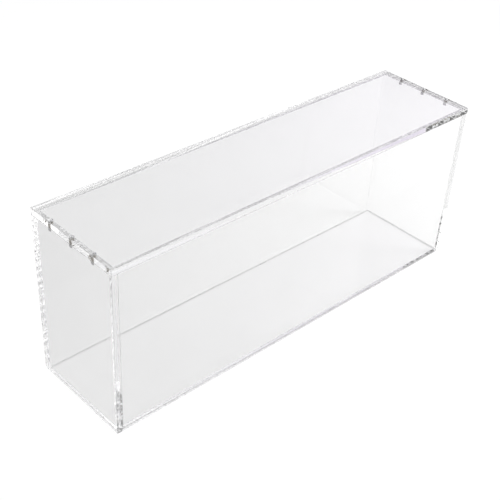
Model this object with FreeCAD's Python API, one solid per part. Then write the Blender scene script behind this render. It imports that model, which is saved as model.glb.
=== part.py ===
import FreeCAD, Part
import os

# A clear acrylic box for one row of graded cards: five cemented panels and a lid held by magnets.
# +X runs along the row, -Y is the front and +Z is up, from the middle of the underside. Millimetres.

# The space for the cards, inside the closed box
inside_length = 365.0
inside_depth = 84.0
inside_height = 140.0

# Cast acrylic sheet with polished edges
wall_thickness = 5.0
base_thickness = 3.0
polished_chamfer = 0.4

# Magnets that hold the lid, in blind pockets along both short ends
magnet_diameter = 3.0
magnet_height = 3.0
magnet_chamfer = 0.15
magnets_per_end = 3
magnet_row_margin = 9.5
pocket_clearance = 0.05
magnet_recess = 0.05
end_pocket_skin = 0.95
lid_pocket_cover = 1.95

# A pocket takes a magnet just below the surface, with acrylic left on all sides of it
pocket_radius = magnet_diameter / 2 + pocket_clearance
pocket_depth = magnet_height + magnet_recess
end_thickness = 2 * (pocket_radius + end_pocket_skin)
lid_thickness = pocket_depth + lid_pocket_cover

# Outer sizes and the heights where pieces meet
outer_length = inside_length + 2 * end_thickness
outer_depth = inside_depth + 2 * wall_thickness
rim_height = base_thickness + inside_height
outer_height = rim_height + lid_thickness

# Places of the magnets: in the middle of each end panel's top, one in the middle of each equal bay
magnet_x = outer_length / 2 - end_thickness / 2
magnet_pitch = (outer_depth - 2 * magnet_row_margin) / magnets_per_end
magnet_row = [(index - (magnets_per_end - 1) / 2) * magnet_pitch for index in range(magnets_per_end)]
end_sides = {"left": -1, "right": 1}

# Full footprint of the box, below the lid and with it
half_length = outer_length / 2
half_depth = outer_depth / 2
box_limits = FreeCAD.BoundBox(-half_length, -half_depth, 0, half_length, half_depth, rim_height)
lid_limits = FreeCAD.BoundBox(-half_length, -half_depth, rim_height, half_length, half_depth, outer_height)
same_place = 1e-6


def panel(x_low, x_high, y_low, y_high, z_low, z_high):
    """A rectangle of sheet between two corners."""
    corner = FreeCAD.Vector(x_low, y_low, z_low)
    return Part.makeBox(x_high - x_low, y_high - y_low, z_high - z_low, corner)


def outer_faces_under(edge, limits):
    """How many of the six outer faces of a box an edge lies in."""
    place = edge.BoundBox
    gaps = [
        place.XMax - limits.XMin, limits.XMax - place.XMin,
        place.YMax - limits.YMin, limits.YMax - place.YMin,
        place.ZMax - limits.ZMin, limits.ZMax - place.ZMin,
    ]
    return sum(1 for gap in gaps if abs(gap) < same_place)


def with_polished_edges(sheet, limits):
    """The sheet with a small chamfer where two outer faces meet; cemented edges stay sharp."""
    exposed = [edge for edge in sheet.Edges if outer_faces_under(edge, limits) == 2]
    return sheet.makeChamfer(polished_chamfer, exposed)


def with_pockets(sheet, x, mouth_z, direction):
    """The sheet with a row of blind magnet pockets, cut from mouth_z up (1) or down (-1)."""
    axis = FreeCAD.Vector(0, 0, direction)
    pockets = [
        Part.makeCylinder(pocket_radius, pocket_depth, FreeCAD.Vector(x, y, mouth_z), axis)
        for y in magnet_row
    ]
    return sheet.cut(Part.makeCompound(pockets)).removeSplitter().Solids[0]


def base_panel():
    """The thinner floor of the box, set in between all four walls and flush with their feet."""
    return panel(-inside_length / 2, inside_length / 2, -inside_depth / 2, inside_depth / 2, 0, base_thickness)


def end_panel(side):
    """A short wall over the full depth and height, with pockets for magnets in its top edge."""
    x_faces = sorted([side * half_length, side * (half_length - end_thickness)])
    sheet = panel(*x_faces, -half_depth, half_depth, 0, rim_height)
    polished = with_polished_edges(sheet, box_limits)
    return with_pockets(polished, side * magnet_x, rim_height, -1)


def long_panel(side):
    """A long wall between the end panels, at the front (-1) or the back (1)."""
    y_faces = sorted([side * half_depth, side * (half_depth - wall_thickness)])
    sheet = panel(-inside_length / 2, inside_length / 2, *y_faces, 0, rim_height)
    return with_polished_edges(sheet, box_limits)


def lid_panel():
    """The loose top, flush with the walls, with magnet pockets in its underside over both ends."""
    sheet = panel(-half_length, half_length, -half_depth, half_depth, rim_height, outer_height)
    lid = with_polished_edges(sheet, lid_limits)
    for side in end_sides.values():
        lid = with_pockets(lid, side * magnet_x, rim_height, 1)
    return lid


def magnet(x, y, z_low):
    """A plated disc magnet, standing on z_low, with both rims broken."""
    disc = Part.makeCylinder(magnet_diameter / 2, magnet_height, FreeCAD.Vector(x, y, z_low))
    rims = [edge for edge in disc.Edges if isinstance(edge.Curve, Part.Circle)]
    return disc.makeChamfer(magnet_chamfer, rims)


# Each piece of the box by its node's name
pieces = {
    "base_panel": base_panel(),
    "front_panel": long_panel(-1),
    "back_panel": long_panel(1),
    "left_end_panel": end_panel(end_sides["left"]),
    "right_end_panel": end_panel(end_sides["right"]),
    "lid_panel": lid_panel(),
}
for end, side in end_sides.items():
    for number, y in enumerate(magnet_row, start=1):
        x = side * magnet_x
        pieces[f"end_magnet_{end}_{number}"] = magnet(x, y, rim_height - pocket_depth)
        pieces[f"lid_magnet_{end}_{number}"] = magnet(x, y, rim_height + magnet_recess)

os.makedirs("parts", exist_ok=True)
for name, piece in pieces.items():
    print(f"{name}: {piece.Volume / 1000:.3f} cm3, valid {piece.isValid()}, {len(piece.Solids)} solid")
    piece.exportStep(f"parts/{name}.step")
print(f"outside {outer_length:.1f} x {outer_depth:.1f} x {outer_height:.1f} mm")
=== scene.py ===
# %% [markdown]
# A clear acrylic box for a row of graded cards. The CAD model gives every panel and magnet at its real
# size, so this lesson starts by loading it as a fixed frame. All later sizes are read from it, in metres.

# %% Load the frame
import math

import bpy
import numpy as np
from mathutils import Matrix, Vector


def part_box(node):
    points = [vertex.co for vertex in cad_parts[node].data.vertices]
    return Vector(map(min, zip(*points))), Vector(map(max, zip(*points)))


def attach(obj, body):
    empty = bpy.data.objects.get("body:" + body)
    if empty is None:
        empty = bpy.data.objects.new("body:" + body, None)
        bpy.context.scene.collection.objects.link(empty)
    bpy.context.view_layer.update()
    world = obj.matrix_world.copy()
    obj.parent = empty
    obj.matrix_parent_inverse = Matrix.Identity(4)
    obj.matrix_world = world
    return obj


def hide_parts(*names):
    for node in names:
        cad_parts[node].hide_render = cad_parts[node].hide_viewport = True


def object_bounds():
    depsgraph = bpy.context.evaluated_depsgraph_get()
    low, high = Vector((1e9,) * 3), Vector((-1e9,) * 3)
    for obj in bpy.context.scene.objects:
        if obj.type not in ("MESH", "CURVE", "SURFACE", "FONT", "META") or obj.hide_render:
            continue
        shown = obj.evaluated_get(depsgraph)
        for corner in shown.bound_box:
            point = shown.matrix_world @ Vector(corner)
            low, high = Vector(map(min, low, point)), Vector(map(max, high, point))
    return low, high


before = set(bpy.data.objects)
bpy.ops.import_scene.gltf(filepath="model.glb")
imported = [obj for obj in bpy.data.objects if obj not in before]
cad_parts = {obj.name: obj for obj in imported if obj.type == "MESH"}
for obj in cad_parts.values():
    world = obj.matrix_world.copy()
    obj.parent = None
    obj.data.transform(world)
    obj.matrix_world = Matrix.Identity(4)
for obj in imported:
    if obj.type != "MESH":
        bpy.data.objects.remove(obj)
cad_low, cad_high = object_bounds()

mm = 0.001
print("frame:", len(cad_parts), "nodes,", [round(side / mm, 1) for side in cad_high - cad_low], "mm")

# %% [markdown]
# Five panels are cemented into a tray, and the sixth lies on top as a loose lid. Cement joins two faces
# into one clear block, but the lid only rests on the rim with a film of air between. Light shows that
# difference, so the tray's rim is kept a hair below the lid's underside here.

# %% The panels as boxes
lid_air_film = 0.06 * mm
tray_nodes = ["base_panel", "front_panel", "back_panel", "left_end_panel", "right_end_panel"]


def box_of(node):
    """A node's lowest and highest corners, as two rows of numbers."""
    return np.array([list(corner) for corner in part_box(node)])


tray = {node: box_of(node) for node in tray_nodes}
lid = box_of("lid_panel")
for node in tray_nodes[1:]:
    tray[node][1, 2] -= lid_air_film
tray_corners = np.concatenate(list(tray.values()))
tray_limits = np.array([tray_corners.min(axis=0), tray_corners.max(axis=0)])
tray_size = np.round((tray_limits[1] - tray_limits[0]) / mm, 2)
sheet_thickness = tray["front_panel"][1, 1] - tray["front_panel"][0, 1]
print("sheet", round(sheet_thickness / mm, 2), "mm, tray", tray_size, "mm")

# %% [markdown]
# Each magnet sits in a blind pocket, a little wider than the magnet. The pocket's floor is where the magnet
# seats, so the magnets of the frame give every pocket: its middle, its radius, its mouth and its depth.

# %% Where the magnets sit
pocket_clearance = 0.05 * mm
magnets = {node: box_of(node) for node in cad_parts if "magnet" in node}


def pockets_of(kind, side):
    """Middle (x, y) and floor height of each pocket of one kind ("lid" or "end") at one end of the box."""
    found = [box for node, box in magnets.items() if node.startswith(f"{kind}_magnet_{side}")]
    floor_row = 1 if kind == "lid" else 0
    return [(*box.mean(axis=0)[:2], box[floor_row, 2]) for box in found]


first_magnet = next(iter(magnets.values()))
magnet_radius = (first_magnet[1, 0] - first_magnet[0, 0]) / 2
pocket_radius = magnet_radius + pocket_clearance
print(len(magnets), "magnets of", round(2 * magnet_radius / mm, 2), "mm across")

# %% [markdown]
# A panel could be a plain cube, but then its cemented patches, polished edges and pockets could not be told
# apart. So each of its six sides is a grid of straight lines: one line at every place where a neighbour
# ends or a pocket begins. np.unique then welds the points that two sides share into one closed skin.

# %% A box ruled by lines
weld = 1e-7


def welded(points):
    """Points with all those in one place made one, and for each old point the number of its new one."""
    keys = np.round(points / weld).astype(np.int64)
    _, first, place = np.unique(keys, axis=0, return_index=True, return_inverse=True)
    return points[first], place.ravel()


def ruled_box(lines):
    """Points and quads of a box's skin.

    Each side is a grid: every pair of lines of the two axes that span it, at the first or last line of the
    third axis. Quads run anticlockwise seen from outside, and shared points are welded."""
    points, quads, count = [], [], 0
    for axis in range(3):
        across, along = (axis + 1) % 3, (axis + 2) % 3
        u, v = np.meshgrid(lines[across], lines[along], indexing="ij")
        index = np.arange(u.size).reshape(u.shape)
        loops = np.stack([index[:-1, :-1], index[1:, :-1], index[1:, 1:], index[:-1, 1:]], axis=-1)
        loops = loops.reshape(-1, 4)
        for end, order in ((0, slice(None, None, -1)), (-1, slice(None))):
            side = np.empty((u.size, 3))
            side[:, across] = u.ravel()
            side[:, along] = v.ravel()
            side[:, axis] = lines[axis][end]
            points.append(side)
            quads.append(loops[:, order] + count)
            count += u.size
    points, place = welded(np.concatenate(points))
    return points, place[np.concatenate(quads)]


plain_points, plain_quads = ruled_box([np.array([0.0, 1.0])] * 3)
print("a box with no inner lines has", len(plain_points), "points and", len(plain_quads), "quads")

# %% [markdown]
# A drilled pocket replaces one cell of the grid. A Boolean could cut it, but that leaves thin triangles
# which spoil the reflections. So the cell's square and the pocket's circle are joined by four flat faces,
# one from each side of the square, and below them go a ring of wall faces and a flat floor.

# %% A pocket in one cell
pocket_steps = 32
first_turn = np.radians(45)
turn_margin = 0.01


def pocket(cell, middle, floor_z):
    """Points and faces of a blind pocket whose mouth lies in a square cell.

    The mouth and floor are circles, (x + r cos t, y + r sin t), at the cell's height and at floor_z.
    t starts at 45 degrees so that each quarter of the circle faces one side of the square."""
    step = np.arange(pocket_steps)
    turn = first_turn + step * 2 * np.pi / pocket_steps
    ring = np.asarray(middle) + pocket_radius * np.stack([np.cos(turn), np.sin(turn)], axis=1)
    mouth = np.column_stack([ring, np.full(pocket_steps, cell[0, 2])])
    floor = np.column_stack([ring, np.full(pocket_steps, floor_z)])
    corner_turn = np.arctan2(cell[:, 1] - middle[1], cell[:, 0] - middle[0])
    corners = cell[np.argsort((corner_turn - first_turn + turn_margin) % (2 * np.pi))]
    points = np.concatenate([corners, mouth, floor])
    mouth_of = 4 + step
    floor_of = mouth_of + pocket_steps
    walls = np.stack([mouth_of, np.roll(mouth_of, -1), np.roll(floor_of, -1), floor_of], axis=1)
    quarter = pocket_steps // 4
    back_round = np.arange(quarter, -1, -1)
    rims = [
        np.concatenate([[k, (k + 1) % 4], mouth_of[(k * quarter + back_round) % pocket_steps]])
        for k in range(4)
    ]
    faces = rims + list(walls) + [floor_of]
    faces_down = floor_z > cell[0, 2]
    return points, [face[::-1] for face in faces] if faces_down else faces


print("a pocket has", 4 + pocket_steps + 1, "faces")

# %% [markdown]
# Now the lines of one sheet. They lie at its own limits, where its neighbours begin and end, and round the
# square cell of each pocket. Fewer lines would let a cemented patch spill over onto a polished one.

# %% The lines of a sheet
probe = 0.01 * mm
cell_half = 1.9 * mm


def lines_of(box, neighbours, pockets):
    """Three sorted sets of grid lines: the box's limits, its neighbours' limits and its pockets' cells."""
    limits = np.concatenate([box] + list(neighbours))
    cells = [np.array(p[:2]) + shift for p in pockets for shift in (-cell_half, cell_half)]
    found = []
    for axis in range(3):
        extra = [c[axis] for c in cells] if axis < 2 else []
        values = np.concatenate([limits[:, axis], extra])
        inside = values[(values > box[0, axis] + probe) & (values < box[1, axis] - probe)]
        values = np.concatenate([box[:, axis], inside])
        found.append(np.unique(np.round(values / weld).astype(np.int64)) * weld)
    return found


print("lines of the lid, with no pockets:", [len(line) for line in lines_of(lid, [], [])])

# %% [markdown]
# Each face of a sheet is told apart by what was done to it. The broad faces are as the sheet was cast,
# the edges are polished, and the feet on the ground are left as machined. The faces could be picked by
# hand, but a probe just outside each one works at any size: in a neighbour, it finds a cemented patch.

# %% What was done to each face
kind_names = ("cast", "edge", "foot", "seam", "bead", "fused", "pocket")
CAST, EDGE, FOOT, SEAM, BEAD, FUSED, POCKET = range(7)
facing = 0.5


def finishes(points, quads, box, neighbours):
    """The kind of every quad, by the way it faces and by what a probe just outside it meets.

    Quads across the sheet's thin axis are cast, the others are edges, and edges that face down are feet.
    In a neighbour the probe finds cement: a bead round the base, a seam at a long wall's right end, and
    a fused face elsewhere."""
    corner = points[quads]
    normal = np.cross(corner[:, 1] - corner[:, 0], corner[:, 2] - corner[:, 0])
    normal /= np.linalg.norm(normal, axis=1, keepdims=True)
    outside = corner.mean(axis=1) + probe * normal
    thin_axis = np.argmin(box[1] - box[0])
    kinds = np.where(np.abs(normal[:, thin_axis]) > facing, CAST, EDGE)
    kinds[(kinds == EDGE) & (normal[:, 2] < -facing)] = FOOT
    right_end = (normal[:, 0] > facing) & (thin_axis == 1)
    for low, high in neighbours:
        cemented = np.all((outside > low) & (outside < high), axis=1)
        kinds[cemented] = BEAD if thin_axis == 2 else np.where(right_end[cemented], SEAM, FUSED)
    return kinds


print("kinds of face:", ", ".join(kind_names))

# %% [markdown]
# A polished edge has a small round bevel, which catches the light. Edges in two outer faces of the tray
# or the lid are bevelled. So are a sheet's own upright corners, which leave a fine groove at each joint.
# Blender's Bevel modifier reads a weight from every edge, so these edges get 1 and all others 0.

# %% Which edges are bevelled
same_plane = 1e-6


def planes_shared(points, ends, box):
    """How many of a box's six planes each edge lies in."""
    on_plane = np.abs(points[:, None] - box[None]) < same_plane
    return on_plane.reshape(-1, 6)[ends].all(axis=1).sum(axis=1)


def bevelled_edges(mesh, box, limits):
    """1 for each edge in two of the limits' planes, and for the sheet's upright corners in one of them."""
    points = np.empty(len(mesh.vertices) * 3)
    mesh.vertices.foreach_get("co", points)
    points = points.reshape(-1, 3)
    ends = np.empty(len(mesh.edges) * 2, dtype=np.int64)
    mesh.edges.foreach_get("vertices", ends)
    ends = ends.reshape(-1, 2)
    outer = planes_shared(points, ends, limits)
    corner = planes_shared(points, ends, box) == 2
    upright = np.linalg.norm(points[ends[:, 0], :2] - points[ends[:, 1], :2], axis=1) < same_plane
    return ((outer == 2) | (corner & upright & (outer == 1))).astype(np.float32)


print("points within", same_plane / mm, "mm of a plane lie in it")

# %% [markdown]
# A sheet is the ruled box with its pockets, its kinds of face and its bevels put together. The material
# slots follow the kinds, so slot 0 is the cast face, slot 1 the polished edge, and so on.

# %% A sheet of acrylic
bevel_width = 0.25 * mm
bevel_steps = 3


def new_piece(name, points, faces):
    """A new object at the origin, with its place in its mesh."""
    mesh = bpy.data.meshes.new(name)
    mesh.from_pydata(points, [], faces)
    piece = bpy.data.objects.new(name, mesh)
    bpy.context.scene.collection.objects.link(piece)
    return piece


def acrylic_sheet(name, box, neighbours, limits, pockets=()):
    """A panel: a ruled box, one cell of it swapped for each pocket, kinds per face and weights per edge."""
    points, quads = ruled_box(lines_of(box, neighbours, pockets))
    kinds = finishes(points, quads, box, neighbours)
    middles = points[quads].mean(axis=1)
    drilled = np.zeros(len(quads), dtype=bool)
    point_sets, pocket_faces, pocket_kinds, pocket_smooth = [points], [], [], []
    count = len(points)
    for x, y, floor_z in pockets:
        mouth_z = box[0, 2] if floor_z - box[0, 2] < box[1, 2] - floor_z else box[1, 2]
        cell = np.argmin(np.linalg.norm(middles - [x, y, mouth_z], axis=1))
        drilled[cell] = True
        new_points, new_faces = pocket(points[quads[cell]], (x, y), floor_z)
        point_sets.append(new_points)
        pocket_faces += [face + count for face in new_faces]
        pocket_kinds += [kinds[cell]] * 4 + [POCKET] * (pocket_steps + 1)
        pocket_smooth += [False] * 4 + [True] * pocket_steps + [False]
        count += len(new_points)
    faces = list(quads[~drilled]) + pocket_faces
    marks = np.concatenate([kinds[~drilled], pocket_kinds]).astype(np.int32)
    smooth = np.concatenate([np.zeros((~drilled).sum()), pocket_smooth]).astype(bool)
    every_point, place = welded(np.concatenate(point_sets))
    piece = new_piece(name, every_point, [place[face].tolist() for face in faces])
    piece.data.polygons.foreach_set("material_index", marks)
    piece.data.polygons.foreach_set("use_smooth", smooth)
    weight = piece.data.attributes.new("bevel_weight_edge", "FLOAT", "EDGE")
    weight.data.foreach_set("value", bevelled_edges(piece.data, box, limits))
    bevel = piece.modifiers.new("polished_edge", "BEVEL")
    bevel.limit_method = "WEIGHT"
    bevel.width = bevel_width
    bevel.segments = bevel_steps
    bevel.material = EDGE
    return piece


print("bevels of", bevel_width / mm, "mm in", bevel_steps, "steps")

# %% [markdown]
# The base lies between the walls, so its limits are its own sides: they give it a groove all round its
# top and none at its foot.

# %% The six sheets
end_pockets = {side: pockets_of("end", side) for side in ("left", "right")}
lid_pockets = pockets_of("lid", "left") + pockets_of("lid", "right")
inset_limits = tray["base_panel"] - [[0, 0, sheet_thickness], [0, 0, 0]]
sheets = {}
for node, box in tray.items():
    neighbours = [other for name, other in tray.items() if name != node]
    holes = end_pockets.get(node.split("_")[0], []) if "end" in node else []
    name = node.replace("panel", "sheet")
    limits = inset_limits if node == "base_panel" else tray_limits
    sheets[node] = acrylic_sheet(name, box, neighbours, limits, holes)
sheets["lid_panel"] = acrylic_sheet("lid_sheet", lid, [], lid, lid_pockets)
for node, piece in sheets.items():
    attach(piece, "lid" if node == "lid_panel" else "box")
    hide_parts(node)
    marks = np.empty(len(piece.data.polygons), dtype=np.int32)
    piece.data.polygons.foreach_get("material_index", marks)
    amounts = np.bincount(marks, minlength=len(kind_names)).tolist()
    print(piece.name, "faces:", dict(zip(kind_names, amounts)))

# %% [markdown]
# A magnet is pressed and sintered, ground flat, tumbled and plated, so its rims are round. It could be a
# cylinder with a bevel, but a surface of revolution gives the rims directly: a profile with two rounded
# rims is carried round the axis.

# %% The magnets
rim_radius = 0.18 * mm
rim_steps = 7
around = 40


def plated_disc(name, box):
    """A disc magnet: radius(s), height(s) of a profile, turned round its axis in even steps.

    The profile runs from the middle of the lower face out to a quarter circle, up the side, over a second
    quarter circle and back to the middle."""
    bend = np.linspace(0, np.pi / 2, rim_steps)
    out = (box[1, 0] - box[0, 0]) / 2 - rim_radius
    low, high = box[:, 2]
    lower_rim = (out + rim_radius * np.sin(bend), low + rim_radius * (1 - np.cos(bend)))
    upper_rim = (out + rim_radius * np.cos(bend), high - rim_radius * (1 - np.sin(bend)))
    r = np.concatenate([[out / 2], lower_rim[0], upper_rim[0], [out / 2]])
    z = np.concatenate([[low], lower_rim[1], upper_rim[1], [high]])
    turn = np.arange(around) * 2 * np.pi / around
    x, y = box.mean(axis=0)[:2]
    across = x + np.outer(r, np.cos(turn))
    along = y + np.outer(r, np.sin(turn))
    grid = np.stack([across, along, np.outer(z, np.ones(around))], axis=-1)
    points = np.concatenate([grid.reshape(-1, 3), [[x, y, low], [x, y, high]]])
    index = np.arange(len(r) * around).reshape(len(r), around)
    after = np.roll(index, -1, axis=1)
    skin = np.stack([index[:-1], after[:-1], after[1:], index[1:]], axis=-1).reshape(-1, 4)
    bottom = np.column_stack([np.full(around, len(points) - 2), after[0], index[0]])
    top = np.column_stack([np.full(around, len(points) - 1), index[-1], after[-1]])
    piece = new_piece(name, points, skin.tolist() + bottom.tolist() + top.tolist())
    piece.data.polygons.foreach_set("use_smooth", np.ones(len(piece.data.polygons), dtype=bool))
    return piece


discs = []
for node, box in magnets.items():
    disc = plated_disc("plated_" + node, box)
    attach(disc, "lid" if node.startswith("lid") else "box")
    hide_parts(node)
    discs.append(disc)
print(len(discs), "plated magnets,", len(discs[0].data.polygons), "faces each")

# %% [markdown]
# Materials are node trees. One helper adds a node, sets what it is told and links the rest. Another turns a
# colour as a designer writes it, sRGB hex, into the linear numbers that light is worked out in.

# %% Helpers for materials


def linear(code):
    """An sRGB hex colour such as "F4F6FA" as linear red, green, blue and a full alpha."""
    srgb = np.array([int(code[i:i + 2], 16) for i in (0, 2, 4)]) / 255
    return (*np.where(srgb <= 0.04045, srgb / 12.92, ((srgb + 0.055) / 1.055) ** 2.4).tolist(), 1.0)


def add_node(tree, kind, inputs=None, **settings):
    """Adds a node; each input is a number or colour to set, or another node's output to link."""
    node = tree.nodes.new(kind)
    for name, value in settings.items():
        setattr(node, name, value)
    for name, value in (inputs or {}).items():
        if isinstance(value, bpy.types.NodeSocket):
            tree.links.new(value, node.inputs[name])
        else:
            node.inputs[name].default_value = value
    return node


def mixed(tree, factor, first, second):
    """A colour between two others."""
    inputs = {"Factor": factor, 6: first, 7: second}
    return add_node(tree, "ShaderNodeMix", inputs, data_type="RGBA").outputs[2]


def new_material(name):
    """An empty node material and its output node."""
    material = bpy.data.materials.new(name)
    material.use_nodes = True
    material.node_tree.nodes.clear()
    return material, material.node_tree, add_node(material.node_tree, "ShaderNodeOutputMaterial")


print("mid grey, 808080, is", round(linear("808080")[0], 3), "in linear light")

# %% [markdown]
# Low on the front edges of the two end panels, light mirrored inside the sheets shows as flecks, and here
# they are painted: painted shade as dark flecks at the near corner, and painted highlights as pale flecks
# at the far one. They could be modelled as pits, but real ones are finer than a pixel, so they are drawn
# as coarse as they need to show. A noise is cut off at a level, which leaves spots, and two ramps keep
# the spots to the front and below a height.

# %% Painted flecks of light and shade on the front edges
fleck_size = 1.9 * mm
fleck_fade = 1.0 * mm
fleck_edge = 0.02
front = float(tray_limits[0, 1])


def spots(tree, place, share, cover, height):
    """A share in painted flecks on the box's front up to a height, and 0 elsewhere; more cover gives more
    flecks.
    """
    axes = add_node(tree, "ShaderNodeSeparateXYZ", {0: place}).outputs
    low = add_node(tree, "ShaderNodeMapRange", {
        "Value": axes["Z"], "From Min": height, "From Max": height + fleck_fade,
        "To Min": share, "To Max": 0.0})
    near = add_node(tree, "ShaderNodeMapRange", {
        "Value": axes["Y"], "From Min": front + fleck_fade, "From Max": front + 2 * fleck_fade,
        "To Min": low.outputs["Result"], "To Max": 0.0})
    fleck_noise = add_node(tree, "ShaderNodeTexNoise", {"Vector": place, "Scale": 1 / fleck_size, "Detail": 1.0})
    level = 1 - cover
    return add_node(tree, "ShaderNodeMapRange", {
        "Value": fleck_noise.outputs["Fac"], "From Min": level - fleck_edge, "From Max": level + fleck_edge,
        "To Max": near.outputs["Result"]}).outputs["Result"]


print("painted flecks of about", fleck_size / mm, "mm")

# %% [markdown]
# Acrylic bends light with an index of 1.49. A lamp's light passes a thin clear wall almost straight, so
# rays that only ask whether a lamp is in sight go through a plain tint in place of the bend. The walls'
# feet are the exception: light inside an upright sheet is mirrored at its lower edge, so the ground below
# a foot stays dark. Sheet is never quite flat, and shallow waves in it make the edges look alive.

# %% Clear acrylic
acrylic_index = 1.49
cloud_range = (0.35, 0.75)


def clear_acrylic(name, tints, tint_size, haze, wave_size, wave_height, lamp_tint="FFFFFF", marks=None):
    """Clear acrylic: a faint cloud of tint, a little haze, a surface in waves and perhaps painted flecks of
    light and shade.
    """
    material, tree, output = new_material(name)
    place = add_node(tree, "ShaderNodeTexCoord").outputs["Object"]
    cloud = add_node(tree, "ShaderNodeTexNoise", {"Vector": place, "Scale": 1 / tint_size, "Detail": 2.0})
    tint = mixed(tree, cloud.outputs["Fac"], linear(tints[0]), linear(tints[1]))
    roughness = add_node(tree, "ShaderNodeMapRange", {
        "Value": cloud.outputs["Fac"], "From Min": cloud_range[0], "From Max": cloud_range[1],
        "To Min": haze[0], "To Max": haze[1]})
    wave = add_node(tree, "ShaderNodeTexNoise", {"Vector": place, "Scale": 1 / wave_size, "Detail": 1.0})
    bump = add_node(tree, "ShaderNodeBump", {
        "Height": wave.outputs["Fac"], "Distance": wave_height, "Strength": 1.0})
    body = add_node(tree, "ShaderNodeBsdfPrincipled", {
        "Base Color": tint, "Roughness": roughness.outputs["Result"], "IOR": acrylic_index,
        "Transmission Weight": 1.0, "Normal": bump.outputs["Normal"]})
    path = add_node(tree, "ShaderNodeLightPath").outputs
    lamp_ray = add_node(tree, "ShaderNodeMath", {
        0: path["Is Shadow Ray"], 1: path["Is Diffuse Ray"]}, operation="MAXIMUM")
    through = add_node(tree, "ShaderNodeBsdfTransparent", {"Color": linear(lamp_tint)})
    # Painted light and shade: diffuse flecks over the clear body stand in for light mirrored inside the
    # sheet
    if marks:
        colour, *reach = marks
        fleck_paint = add_node(tree, "ShaderNodeBsdfDiffuse", {"Color": linear(colour)})
        body = add_node(tree, "ShaderNodeMixShader", {
            0: spots(tree, place, *reach), 1: body.outputs[0], 2: fleck_paint.outputs[0]})
    surface = add_node(tree, "ShaderNodeMixShader", {
        0: lamp_ray.outputs[0], 1: body.outputs[0], 2: through.outputs[0]})
    tree.links.new(surface.outputs[0], output.inputs["Surface"])
    return material


print("acrylic bends light with an index of", acrylic_index)

# %% [markdown]
# One recipe gives every face its finish, so that the way it was made can be told from its look. Each
# pattern has a size in millimetres: a cutter leaves waves a few millimetres long, and a drill finer ones.

# %% The acrylic finishes
polish = (("FAFAFA", "FEFEFE"), 20 * mm, (0.0, 0.01))
edge_wave = (6 * mm, 0.008 * mm)
lid_wave = (8 * mm, 0.03 * mm)
foot_shade = "D0D0D0"
# Painted shade and painted highlights: dark and pale flecks that stand in for light mirrored inside the end
# panels
painted_dark_flecks = ("201F1E", 0.55, 0.50, 42 * mm)
painted_pale_flecks = ("F6F6F6", 0.85, 0.62, 46 * mm)

# Flat as the glass it was cast on: the eye sees what lies behind it, hardly bent
cast_face = clear_acrylic(
    "cast_acrylic_face", ("FBFBFB", "FEFEFE"), 60 * mm, (0.0, 0.006), 45 * mm, 0.004 * mm)
# Nearly as clear, with short waves from the cutter: light and dark flecks along the edge
polished_edge = clear_acrylic("diamond_polished_acrylic_edge", *polish, *edge_wave)
# The same with longer and deeper waves: the flecks of the lid's edges lie farther apart
lid_edge = clear_acrylic("diamond_polished_lid_edge", *polish, *lid_wave)
# Rippled and a little matt: a broken dark line where a wall meets the ground
machined_foot = clear_acrylic(
    "machined_acrylic_foot", ("F6F6F6", "FCFCFC"), 8 * mm, (0.02, 0.08), 2.5 * mm, 0.7 * mm, foot_shade)
# Polished, with painted flecks: painted shade as dark spots low at the near corner,
# and painted highlights as pale ones at the far corner
dark_flecked_edge = clear_acrylic("painted_dark_fleck_acrylic_edge", *polish, *edge_wave, marks=painted_dark_flecks)
pale_flecked_edge = clear_acrylic("painted_pale_fleck_acrylic_edge", *polish, *edge_wave, marks=painted_pale_flecks)
# Frosted by the drill: a soft grey sleeve round each magnet
drilled_pocket = clear_acrylic(
    "drilled_acrylic_pocket", ("F0F2F6", "FAFBFD"), 4 * mm, (0.12, 0.25), 0.6 * mm, 0.01 * mm)
acrylics = [cast_face, polished_edge, lid_edge, machined_foot, dark_flecked_edge, pale_flecked_edge, drilled_pocket]
print("acrylic:", [material.name for material in acrylics])

# %% [markdown]
# Solvent cement melts two faces into one clear block. The right end panel was set on last. Where the
# cement didn't reach, a film of air stays in its two upright seams: steep light goes straight through,
# and light that grazes the film is mirrored. Both faces of a seam lie in the same place, so only the long
# wall's end carries the film. A Fresnel node works out how much is mirrored, with the index turned over
# on the film's other side.

# %% The closing seam
white = (1.0, 1.0, 1.0, 1.0)
run_size = 70 * mm
dry_range = (0.30, 0.42)


def closing_seam():
    """Clear where cement ran, and a film of air where it didn't; the film mirrors alike from both sides."""
    material, tree, output = new_material("solvent_cemented_seam")
    place = add_node(tree, "ShaderNodeTexCoord").outputs["Object"]
    behind = add_node(tree, "ShaderNodeNewGeometry").outputs["Backfacing"]
    index = add_node(tree, "ShaderNodeMapRange", {
        "Value": behind, "To Min": 1 / acrylic_index, "To Max": acrylic_index}).outputs["Result"]
    grazing = add_node(tree, "ShaderNodeFresnel", {"IOR": index})
    clear = add_node(tree, "ShaderNodeBsdfTransparent", {"Color": white})
    mirror = add_node(tree, "ShaderNodeBsdfAnisotropic", {"Color": white, "Roughness": 0.0})
    film = add_node(tree, "ShaderNodeMixShader", {
        0: grazing.outputs[0], 1: clear.outputs[0], 2: mirror.outputs[0]})
    runs = add_node(tree, "ShaderNodeTexNoise", {"Vector": place, "Scale": 1 / run_size, "Detail": 2.0})
    dry = add_node(tree, "ShaderNodeMapRange", {
        "Value": runs.outputs["Fac"], "From Min": dry_range[0], "From Max": dry_range[1]})
    joint = add_node(tree, "ShaderNodeMixShader", {
        0: dry.outputs["Result"], 1: clear.outputs[0], 2: film.outputs[0]})
    tree.links.new(joint.outputs[0], output.inputs["Surface"])
    return material


seam = closing_seam()
print("seam:", seam.name)

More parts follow.
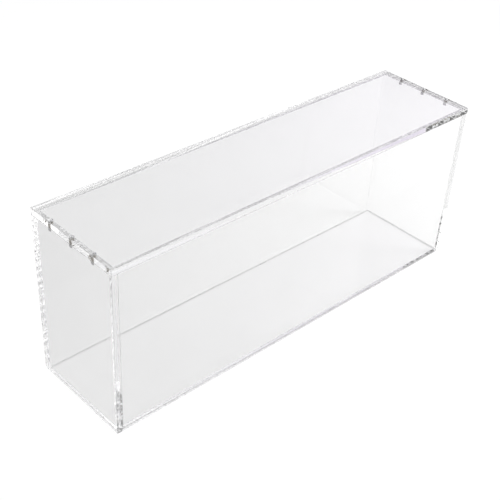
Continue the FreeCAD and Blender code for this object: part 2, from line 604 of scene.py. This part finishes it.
# %% [markdown]
# Round the base the cement was run in from the corner and stands as a thin bead. It could be a strip of
# its own, but it is next to nothing thick, so it is drawn on the cemented face. To the eye it is a grey
# line along the top and the bottom of the base's edge, uneven along its run and fuller toward the front.
# The grey is partly cement and partly painted shade: it also darkens the rays that see the ground under
# the walls' feet through the base's edge, and so paints the shadow lines there.

# %% The cement bead, partly painted shade
# Partly painted shade: this grey also stands in for the shadow under the walls' feet
bead_and_shade_colour = "ACACAC"
bead_width = 1.0 * mm
bead_middle = float(tray["base_panel"][:, 2].mean())
bead_reach = float(tray["base_panel"][1, 1])
bead_range = (0.3, 0.7)
bead_amount = (0.5, 1.0)
bead_front_back = (1.0, 0.3)


def cement_bead_and_shade():
    """Clear in the middle of the base's edge, with a grey line along its top and its bottom, of cement and
    painted shade.
    """
    material, tree, output = new_material("solvent_cement_bead_and_painted_shade")
    place = add_node(tree, "ShaderNodeTexCoord").outputs["Object"]
    axes = add_node(tree, "ShaderNodeSeparateXYZ", {0: place}).outputs
    from_middle = add_node(tree, "ShaderNodeMath", {0: axes["Z"], 1: bead_middle}, operation="SUBTRACT")
    off_middle = add_node(tree, "ShaderNodeMath", {0: from_middle.outputs[0]}, operation="ABSOLUTE")
    line = add_node(tree, "ShaderNodeMapRange", {
        "Value": off_middle.outputs[0], "From Min": bead_middle - bead_width, "From Max": bead_middle},
        interpolation_type="SMOOTHSTEP")
    runs = add_node(tree, "ShaderNodeTexNoise", {"Vector": place, "Scale": 1 / run_size, "Detail": 2.0})
    amount = add_node(tree, "ShaderNodeMapRange", {
        "Value": runs.outputs["Fac"], "From Min": bead_range[0], "From Max": bead_range[1],
        "To Min": bead_amount[0], "To Max": bead_amount[1]})
    toward_front = add_node(tree, "ShaderNodeMapRange", {
        "Value": axes["Y"], "From Min": -bead_reach, "From Max": bead_reach,
        "To Min": bead_front_back[0], "To Max": bead_front_back[1]})
    fuller = add_node(tree, "ShaderNodeMath", {
        0: amount.outputs["Result"], 1: toward_front.outputs["Result"]}, operation="MULTIPLY")
    share = add_node(tree, "ShaderNodeMath", {
        0: line.outputs["Result"], 1: fuller.outputs[0]}, operation="MULTIPLY")
    colour = mixed(tree, share.outputs[0], white, linear(bead_and_shade_colour))
    cement = add_node(tree, "ShaderNodeBsdfTransparent", {"Color": colour})
    tree.links.new(cement.outputs[0], output.inputs["Surface"])
    return material


bead = cement_bead_and_shade()
print("bead:", bead.name, "round a base", round(2 * bead_middle / mm, 2), "mm thick")

# %% [markdown]
# The other cemented faces are fused and let everything through. With that, every kind of face has its
# finish, and each sheet gets them all, one per slot. The lid and the two ends have edges of their own.

# %% Finishes on the sheets


def fused_face():
    """A face melted into its neighbour: fully clear."""
    material, tree, output = new_material("solvent_fused_face")
    clear = add_node(tree, "ShaderNodeBsdfTransparent", {"Color": white})
    tree.links.new(clear.outputs[0], output.inputs["Surface"])
    return material


finish_of = {CAST: cast_face, EDGE: polished_edge, FOOT: machined_foot, SEAM: seam, BEAD: bead,
             FUSED: fused_face(), POCKET: drilled_pocket}
own_edges = {"lid_panel": lid_edge, "left_end_panel": dark_flecked_edge, "right_end_panel": pale_flecked_edge}
for node, piece in sheets.items():
    for kind in sorted(finish_of):
        piece.data.materials.append(finish_of[kind])
    piece.data.materials[EDGE] = own_edges.get(node, polished_edge)
print("each sheet has", len(finish_of), "finishes")

# %% [markdown]
# The magnets are nickel plated over copper, bright but a little soft from tumbling, with dull patches.
# The real grain is finer than a pixel, so it is drawn as coarse as it needs to show.

# %% Nickel plating
patch_size = 1.2 * mm
grain_size = 0.25 * mm
grain_height = 0.01 * mm
grain_strength = 0.6
plating_colours = ("8E8A84", "B9B4AB")
plating_roughness = (0.18, 0.42)


def nickel_plating():
    """Bright metal with a fine tumbled grain and cloudy, duller patches."""
    material, tree, output = new_material("bright_nickel_plating")
    place = add_node(tree, "ShaderNodeTexCoord").outputs["Object"]
    patches = add_node(tree, "ShaderNodeTexNoise", {
        "Vector": place, "Scale": 1 / patch_size, "Detail": 3.0}).outputs["Fac"]
    colour = mixed(tree, patches, linear(plating_colours[0]), linear(plating_colours[1]))
    dull = add_node(tree, "ShaderNodeMapRange", {
        "Value": patches, "To Min": plating_roughness[0], "To Max": plating_roughness[1]})
    grain = add_node(tree, "ShaderNodeTexNoise", {"Vector": place, "Scale": 1 / grain_size, "Detail": 2.0})
    bump = add_node(tree, "ShaderNodeBump", {
        "Height": grain.outputs["Fac"], "Distance": grain_height, "Strength": grain_strength})
    metal = add_node(tree, "ShaderNodeBsdfPrincipled", {
        "Base Color": colour, "Metallic": 1.0, "Roughness": dull.outputs["Result"],
        "Normal": bump.outputs["Normal"]})
    tree.links.new(metal.outputs[0], output.inputs["Surface"])
    return material


plating = nickel_plating()
for disc in discs:
    disc.data.materials.append(plating)
print("plating:", plating.name)

# %% [markdown]
# The box stands on a white sweep. To the camera it is nearly plain white, with enough real matt floor in
# it to keep a soft shadow. Seen through the clear sheets it is the matt floor near the box, which the
# lamp at the right lights unevenly, so the box looks a little darker than its ground and brightens to the
# right. Farther off, part of it stays matt, so that the box stands out from behind as well.

# %% The white sweep
sweep_radius = 5.0
floor_gap = 0.3 * mm
floor_direct = "F3F3F3"
floor_through = "D1D1D1"
matt_share_direct = 0.2
matt_share_through = 1.0
matt_share_far = 0.45
fade_from, fade_to = 0.35, 0.9


def white_sweep():
    """Matt near the box and fading with distance to plain white, by a share of its own for camera rays."""
    material, tree, output = new_material("matt_white_sweep")
    place = add_node(tree, "ShaderNodeTexCoord").outputs["Object"]
    distance = add_node(tree, "ShaderNodeVectorMath", {0: place}, operation="LENGTH").outputs["Value"]
    path = add_node(tree, "ShaderNodeLightPath").outputs
    near = add_node(tree, "ShaderNodeMapRange", {
        "Value": path["Is Camera Ray"], "To Min": matt_share_through, "To Max": matt_share_direct})
    far = add_node(tree, "ShaderNodeMapRange", {
        "Value": path["Is Camera Ray"], "To Min": matt_share_far, "To Max": 0.0})
    share = add_node(tree, "ShaderNodeMapRange", {
        "Value": distance, "From Min": fade_from, "From Max": fade_to,
        "To Min": near.outputs["Result"], "To Max": far.outputs["Result"]})
    carried = add_node(tree, "ShaderNodeMath", {
        0: path["Is Diffuse Ray"], 1: path["Is Shadow Ray"]}, operation="MAXIMUM")
    matt_share = add_node(tree, "ShaderNodeMath", {
        0: share.outputs["Result"], 1: carried.outputs[0]}, operation="MAXIMUM")
    paint = mixed(tree, path["Is Camera Ray"], linear(floor_through), linear(floor_direct))
    matt = add_node(tree, "ShaderNodeBsdfDiffuse", {"Color": paint})
    plain = add_node(tree, "ShaderNodeEmission", {"Color": white, "Strength": 1.0})
    ground = add_node(tree, "ShaderNodeMixShader", {
        0: matt_share.outputs[0], 1: plain.outputs[0], 2: matt.outputs[0]})
    tree.links.new(ground.outputs[0], output.inputs["Surface"])
    return material


corners = np.array([(-1, -1), (1, -1), (1, 1), (-1, 1)]) * sweep_radius
floor_points = np.column_stack([corners, np.full(4, cad_low.z - floor_gap)])
sweep = new_piece("sweep", floor_points, [[0, 1, 2, 3]])
sweep.data.materials.append(white_sweep())
print("sweep:", 2 * sweep_radius, "m wide")

# %% [markdown]
# Clear plastic looks like what is round it. The studio is white nearly all round, a little duller low
# down. A pale screen stands behind the box at the right, where the lid mirrors it, and a window is in
# front at the right. A dark doorway lies behind at the left: light that runs inside the sheets and leaves
# towards it makes the few dark flecks along the edges. Each has a side where its middle is, and an outer
# and an inner edge, as cosines of the angle from that side.

# %% Where things stand in the studio
screen_side = Vector((0.65, 0.55, 0.53)).normalized()
screen_edge = (0.94, 0.975)
screen_colours = ("F2F2F4", "E6DFEE")
lilac_band = (0.5, 0.75)
doorway_side = Vector((-0.67, 0.456, 0.586)).normalized()
doorway_edge = (0.972, 0.984)
doorway_colour = "30302F"
window_side = Vector((0.60, -0.55, 0.58)).normalized()
window_edge = (0.70, 0.95)
window_strength = 1.8
wall_strength = 1.2
horizon_colour = "E9E9EA"
horizon_band = (0.30, 0.45)
for name, edge in (("screen", screen_edge), ("doorway", doorway_edge), ("window", window_edge)):
    print(name, "reaches", round(math.degrees(math.acos(edge[0]))), "degrees from its middle")

# %% [markdown]
# These could be lit planes, but planes would get in the way of the other views. The world takes its
# colour from the direction of a ray instead. The camera itself sees plain white.

# %% The studio round the box


def patch(tree, direction, side, edge):
    """1 towards a side and 0 away from it, by the cosine of the angle between them."""
    cosine = add_node(tree, "ShaderNodeVectorMath", {0: direction, 1: side}, operation="DOT_PRODUCT")
    return add_node(tree, "ShaderNodeMapRange", {
        "Value": cosine.outputs["Value"], "From Min": edge[0], "From Max": edge[1]},
        interpolation_type="SMOOTHSTEP").outputs["Result"]


def grey(strength):
    """An even light of a given strength."""
    return (strength, strength, strength, 1.0)


def studio_world():
    """White to the camera; to other rays a white room with a screen and a doorway.

    The window, the brighter walls and the duller horizon are only for rays that are seen in the sheets and
    the magnets, and don't light the floor."""
    world = bpy.data.worlds.new("studio")
    bpy.context.scene.world = world
    world.use_nodes = True
    tree = world.node_tree
    tree.nodes.clear()
    direction = add_node(tree, "ShaderNodeTexCoord").outputs["Generated"]
    axes = add_node(tree, "ShaderNodeSeparateXYZ", {0: direction}).outputs
    path = add_node(tree, "ShaderNodeLightPath").outputs
    seen = add_node(tree, "ShaderNodeMath", {
        0: 1.0, 1: path["Is Diffuse Ray"]}, operation="SUBTRACT").outputs[0]
    upward = add_node(tree, "ShaderNodeMapRange", {
        "Value": axes["Z"], "From Min": horizon_band[0], "From Max": horizon_band[1]},
        interpolation_type="SMOOTHSTEP").outputs["Result"]
    seen_walls = mixed(tree, upward, linear(horizon_colour), grey(wall_strength))
    room = mixed(tree, seen, white, seen_walls)
    lilac = add_node(tree, "ShaderNodeMapRange", {
        "Value": axes["X"], "From Min": lilac_band[0], "From Max": lilac_band[1]}).outputs["Result"]
    screen = mixed(tree, lilac, linear(screen_colours[0]), linear(screen_colours[1]))
    room = mixed(tree, patch(tree, direction, screen_side, screen_edge), room, screen)
    room = mixed(tree, patch(tree, direction, doorway_side, doorway_edge), room, linear(doorway_colour))
    opening = patch(tree, direction, window_side, window_edge)
    seen_opening = add_node(tree, "ShaderNodeMath", {0: opening, 1: seen}, operation="MULTIPLY")
    window = add_node(tree, "ShaderNodeMath", {0: seen_opening.outputs[0], 1: upward}, operation="MULTIPLY")
    room = mixed(tree, window.outputs[0], room, grey(window_strength))
    background = add_node(tree, "ShaderNodeBackground", {
        "Color": mixed(tree, path["Is Camera Ray"], room, white), "Strength": 1.0})
    output = add_node(tree, "ShaderNodeOutputWorld")
    tree.links.new(background.outputs[0], output.inputs["Surface"])
    return world


print("world:", studio_world().name)

# %% [markdown]
# One soft lamp stands at the right, in front of the box, and lights the floor more on that side. A grid
# on it narrows its beam. Its hard square would show in the clear walls, so it is hidden from rays that
# are mirrored or pass through, and the window of the studio is seen there in its place.

# %% The soft lamp
lamp_size = 0.6
lamp_place = Vector((0.95, -0.45, 0.5))
lamp_aim = Vector((0.15, 0.02, 0.0))
lamp_watts = 7.4
lamp_spread = 130


def soft_lamp(name):
    """A square lamp at its place, facing its aim, with a grid that narrows its light."""
    lamp = bpy.data.lights.new(name, "AREA")
    lamp.size = lamp_size
    lamp.energy = lamp_watts
    lamp.spread = math.radians(lamp_spread)
    holder = bpy.data.objects.new(name, lamp)
    holder.location = lamp_place
    holder.rotation_mode = "QUATERNION"
    holder.rotation_quaternion = (lamp_aim - lamp_place).to_track_quat("-Z", "Y")
    holder.visible_glossy = False
    holder.visible_transmission = False
    bpy.context.scene.collection.objects.link(holder)
    return holder


print("lamp:", soft_lamp("side_softbox").name, lamp_watts, "W")

# %% [markdown]
# The camera stands in front of the left end, above the box, with a slight roll. Its place was worked out
# from the corners of the box in the photo: a turn about the upright, a height angle, a distance and a
# small pan. A small lens shift, in pixels of the picture, sets the box in the frame as the photo does.

# %% The camera
picture_side = 500
camera_turn = math.radians(-44.5938)
camera_height = math.radians(36.8565)
camera_roll = math.radians(3.5662)
camera_distance = 0.78823
camera_pan = (0.01826, 0.03957)
focal_pixels = 962.21
picture_shift_pixels = (6, 30)
sensor_width_mm = 36
nearest_seen = 0.01


def photo_camera():
    """A pinhole camera drawn back from the box's middle, turned, raised, rolled and panned in its plane."""
    level_reach = math.cos(camera_height)
    back = Vector((math.sin(camera_turn) * level_reach, -math.cos(camera_turn) * level_reach,
                   math.sin(camera_height)))
    level = Vector((0, 0, 1)).cross(back).normalized()
    steep = back.cross(level)
    right = level * math.cos(camera_roll) + steep * math.sin(camera_roll)
    up = steep * math.cos(camera_roll) - level * math.sin(camera_roll)
    middle = (cad_low + cad_high) / 2
    place = middle + back * camera_distance - right * camera_pan[0] - up * camera_pan[1]
    lens = bpy.data.cameras.new("photo_camera")
    lens.sensor_width = sensor_width_mm
    lens.lens = focal_pixels / picture_side * lens.sensor_width
    lens.shift_x = picture_shift_pixels[0] / picture_side
    lens.shift_y = picture_shift_pixels[1] / picture_side
    lens.clip_start = nearest_seen
    holder = bpy.data.objects.new("photo_camera", lens)
    rows = [[right[i], up[i], back[i], place[i]] for i in range(3)]
    holder.matrix_world = Matrix(rows + [[0, 0, 0, 1]])
    bpy.context.scene.collection.objects.link(holder)
    return holder


scene = bpy.context.scene
scene.camera = photo_camera()
scene.view_settings.view_transform = "Standard"
camera_place = [round(v, 3) for v in scene.camera.location]
print("camera:", camera_place, "lens", round(scene.camera.data.lens, 1), "mm")

# %% [markdown]
# Light is mirrored many times inside a sheet before it leaves. Blender gives up after a few bounces and
# leaves black in their place, so the clear edges need far more of them than most scenes.

# %% Bounces inside the sheets
sheet_bounces = 128
joint_bounces = 48
scene.cycles.max_bounces = sheet_bounces
scene.cycles.transmission_bounces = sheet_bounces
scene.cycles.glossy_bounces = sheet_bounces
scene.cycles.transparent_max_bounces = joint_bounces
print("bounces:", sheet_bounces, "in the sheets,", joint_bounces, "through the joints")
